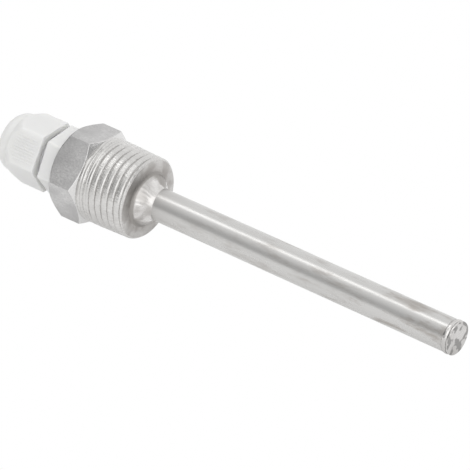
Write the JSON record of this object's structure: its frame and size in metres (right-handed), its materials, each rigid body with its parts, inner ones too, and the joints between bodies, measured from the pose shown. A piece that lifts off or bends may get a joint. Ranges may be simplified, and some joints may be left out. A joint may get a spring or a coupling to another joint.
{
  "type": "thermowell",
  "caption": "Screw-in thermowell: closed stainless sheath welded to a hexagon head with taper pipe thread, and a nylon clamping gland with a dome nut.",
  "frame": {"origin": "on the axis, at the front shoulder of the hexagon where the process thread starts", "axes": "+X along the axis towards the closed tip, +Z square to a flat of the hexagon head, +Y completes the right-handed set"},
  "size_m": [0.1307, 0.0242, 0.021],
  "materials": {
    "stainless": "turned satin",
    "weld_steel": "dressed weld",
    "nylon": "moulded satin",
    "seal_rubber": "matte"
  },
  "bodies": {
    "well": {"threaded_head": "stainless", "sheath_tube": "stainless", "head_weld": "weld_steel", "end_disc": "weld_steel", "end_weld": "weld_steel", "gland_body": "nylon"},
    "clamp_set": {"clamp_claw": "nylon", "seal_bush": "seal_rubber"},
    "nut": {"dome_nut": "nylon"}
  },
  "joints": [
    {"name": "nut_turn", "type": "hinge", "parent": "well", "child": "clamp_set", "pos_m": [-0.02, 0, 0], "axis": [-1, 0, 0], "range_deg": [0, 1080]},
    {"name": "nut_travel", "type": "slide", "parent": "clamp_set", "child": "nut", "axis": [-1, 0, 0], "range_m": [0, 0.00381]}
  ],
  "couplings": [
    {"joint": "nut_travel", "follows": "nut_turn", "m_per_rad": 0.00020213}
  ]
}
